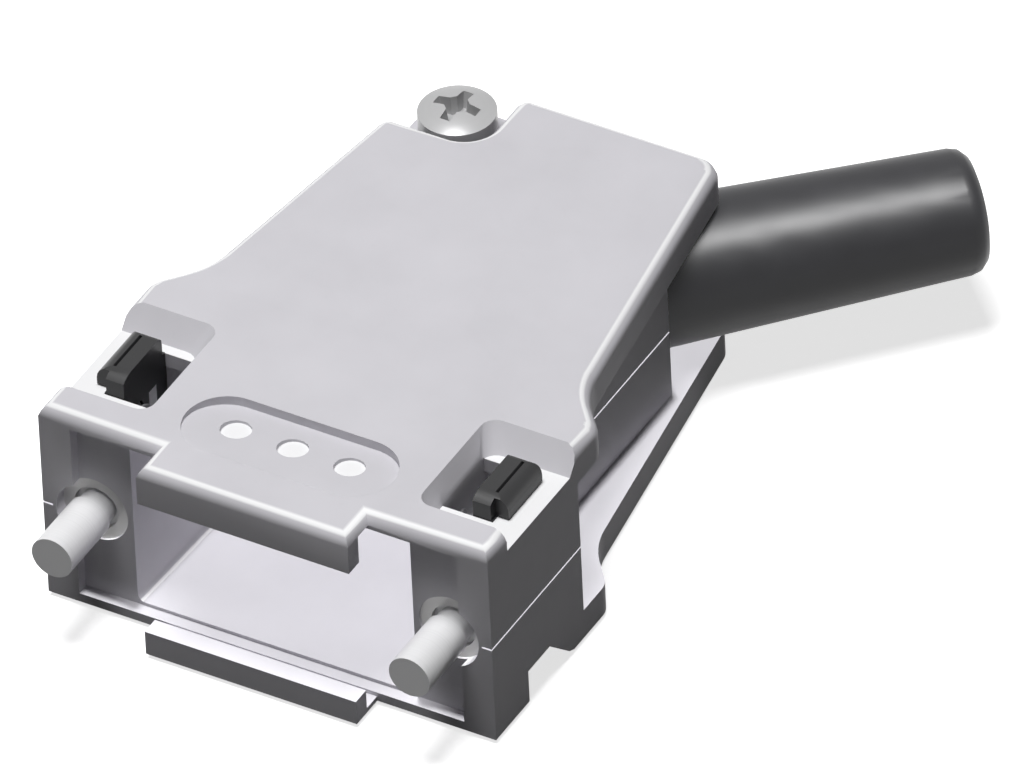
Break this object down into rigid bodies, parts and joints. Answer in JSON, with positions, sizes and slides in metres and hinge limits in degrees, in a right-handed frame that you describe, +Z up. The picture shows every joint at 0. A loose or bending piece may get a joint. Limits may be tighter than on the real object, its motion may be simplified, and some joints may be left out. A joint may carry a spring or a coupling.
{
  "type": "d-sub hood",
  "caption": "Metal D-sub cable hood with an angled cable exit, a bend-relief boot, lock pins in front and sliding release buttons.",
  "frame": {"origin": "midway between the two lock pins' axes, in the plane of the hood's front face", "axes": "+Y from the connector face to the back, +Z up through the cover with the buttons, +X to the cable-exit side"},
  "size_m": [0.0395, 0.0572, 0.0151],
  "materials": {
    "plated_zinc": "nickel-plated die casting, satin",
    "plated_steel": "nickel-plated, bright",
    "brass_bush": "nickel-plated turned brass",
    "spring_steel": "drawn wire",
    "black_plastic": "moulded, semi-matt",
    "black_rubber": "moulded, soft sheen"
  },
  "bodies": {
    "hood": {"bottom_shell": "plated_zinc", "top_shell": "plated_zinc", "cover_screw": "plated_steel", "pin_bush_left": "brass_bush", "pin_bush_right": "brass_bush", "button_spring_left": "spring_steel", "button_spring_right": "spring_steel", "bend_relief_boot": "black_rubber", "cable_ferrule": "brass_bush", "crimp_sleeve": "brass_bush", "clamp_saddle_lower": "plated_zinc", "clamp_saddle_upper": "plated_zinc", "clamp_screw_front": "plated_steel", "clamp_screw_back": "plated_steel"},
    "left_button": {"release_button_left": "black_plastic", "latch_plate_left": "plated_steel"},
    "right_button": {"release_button_right": "black_plastic", "latch_plate_right": "plated_steel"},
    "left_pin": {"lock_pin_left": "plated_steel"},
    "right_pin": {"lock_pin_right": "plated_steel"}
  },
  "joints": [
    {"name": "left_button_slide", "type": "slide", "parent": "hood", "child": "left_button", "axis": [1, 0, 0], "range_m": [0, 0.0018], "stiffness_N_per_m": 400, "springref_m": -0.001, "deforming": ["button_spring_left"]},
    {"name": "right_button_slide", "type": "slide", "parent": "hood", "child": "right_button", "axis": [-1, 0, 0], "range_m": [0, 0.0018], "stiffness_N_per_m": 400, "springref_m": -0.001, "deforming": ["button_spring_right"]},
    {"name": "left_pin_turn", "type": "hinge", "parent": "hood", "child": "left_pin", "pos_m": [-0.01249, 0, 0], "axis": [0, 1, 0], "continuous": true},
    {"name": "right_pin_turn", "type": "hinge", "parent": "hood", "child": "right_pin", "pos_m": [0.01249, 0, 0], "axis": [0, 1, 0], "continuous": true}
  ]
}
